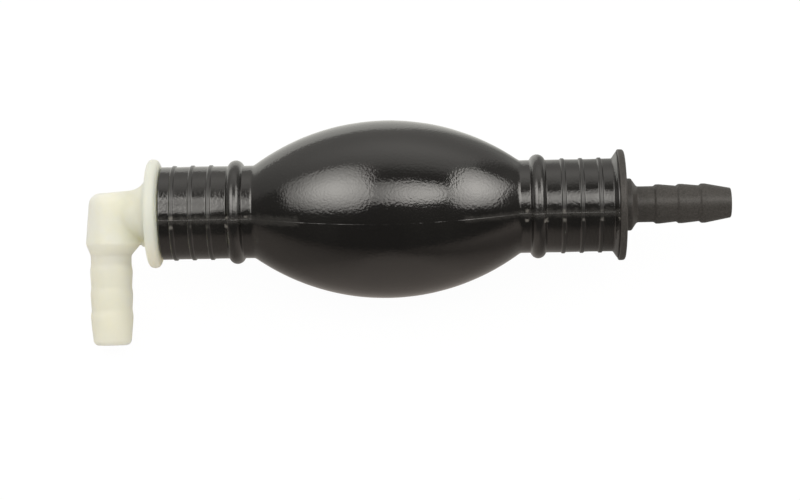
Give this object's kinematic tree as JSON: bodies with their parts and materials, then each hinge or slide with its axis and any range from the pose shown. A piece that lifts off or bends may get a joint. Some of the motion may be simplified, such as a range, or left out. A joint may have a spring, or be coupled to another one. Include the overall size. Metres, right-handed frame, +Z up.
{
  "type": "siphon bulb pump",
  "caption": "Rubber squeeze bulb with a one-way valve in each neck, a right-angle hose elbow at the inlet and a straight hose tail at the outlet.",
  "frame": {"origin": "centre of the overall box on the surface that the pump lies on", "axes": "+X along the bulb from inlet to outlet, +Z up; the inlet's hose tail points to -Y and down to the surface"},
  "size_m": [0.151, 0.048, 0.0416],
  "materials": {
    "bulb_rubber": "semi-gloss moulded black rubber",
    "ivory_nylon": "natural unpainted nylon, slightly translucent",
    "black_nylon": "matte moulded black nylon",
    "valve_acetal": "smooth white acetal",
    "seal_rubber": "matte nitrile rubber",
    "spring_steel": "bright drawn wire"
  },
  "bodies": {
    "pump_body": {"bulb": "bulb_rubber", "inlet_elbow": "ivory_nylon", "outlet_fitting": "black_nylon", "inlet_valve_seat": "valve_acetal", "inlet_valve_spring": "spring_steel", "inlet_valve_cage": "valve_acetal", "outlet_valve_seat": "valve_acetal", "outlet_valve_spring": "spring_steel", "outlet_valve_cage": "valve_acetal"},
    "inlet_valve": {"inlet_valve_poppet": "valve_acetal", "inlet_poppet_seal": "seal_rubber"},
    "outlet_valve": {"outlet_valve_poppet": "valve_acetal", "outlet_poppet_seal": "seal_rubber"}
  },
  "joints": [
    {"name": "inlet_valve_lift", "type": "slide", "parent": "pump_body", "child": "inlet_valve", "axis": [1, 0, 0], "range_m": [0, 0.002], "stiffness_N_per_m": 80, "springref_m": -0.003, "deforming": ["inlet_valve_spring"]},
    {"name": "outlet_valve_lift", "type": "slide", "parent": "pump_body", "child": "outlet_valve", "axis": [1, 0, 0], "range_m": [0, 0.002], "stiffness_N_per_m": 80, "springref_m": -0.003, "deforming": ["outlet_valve_spring"]}
  ]
}
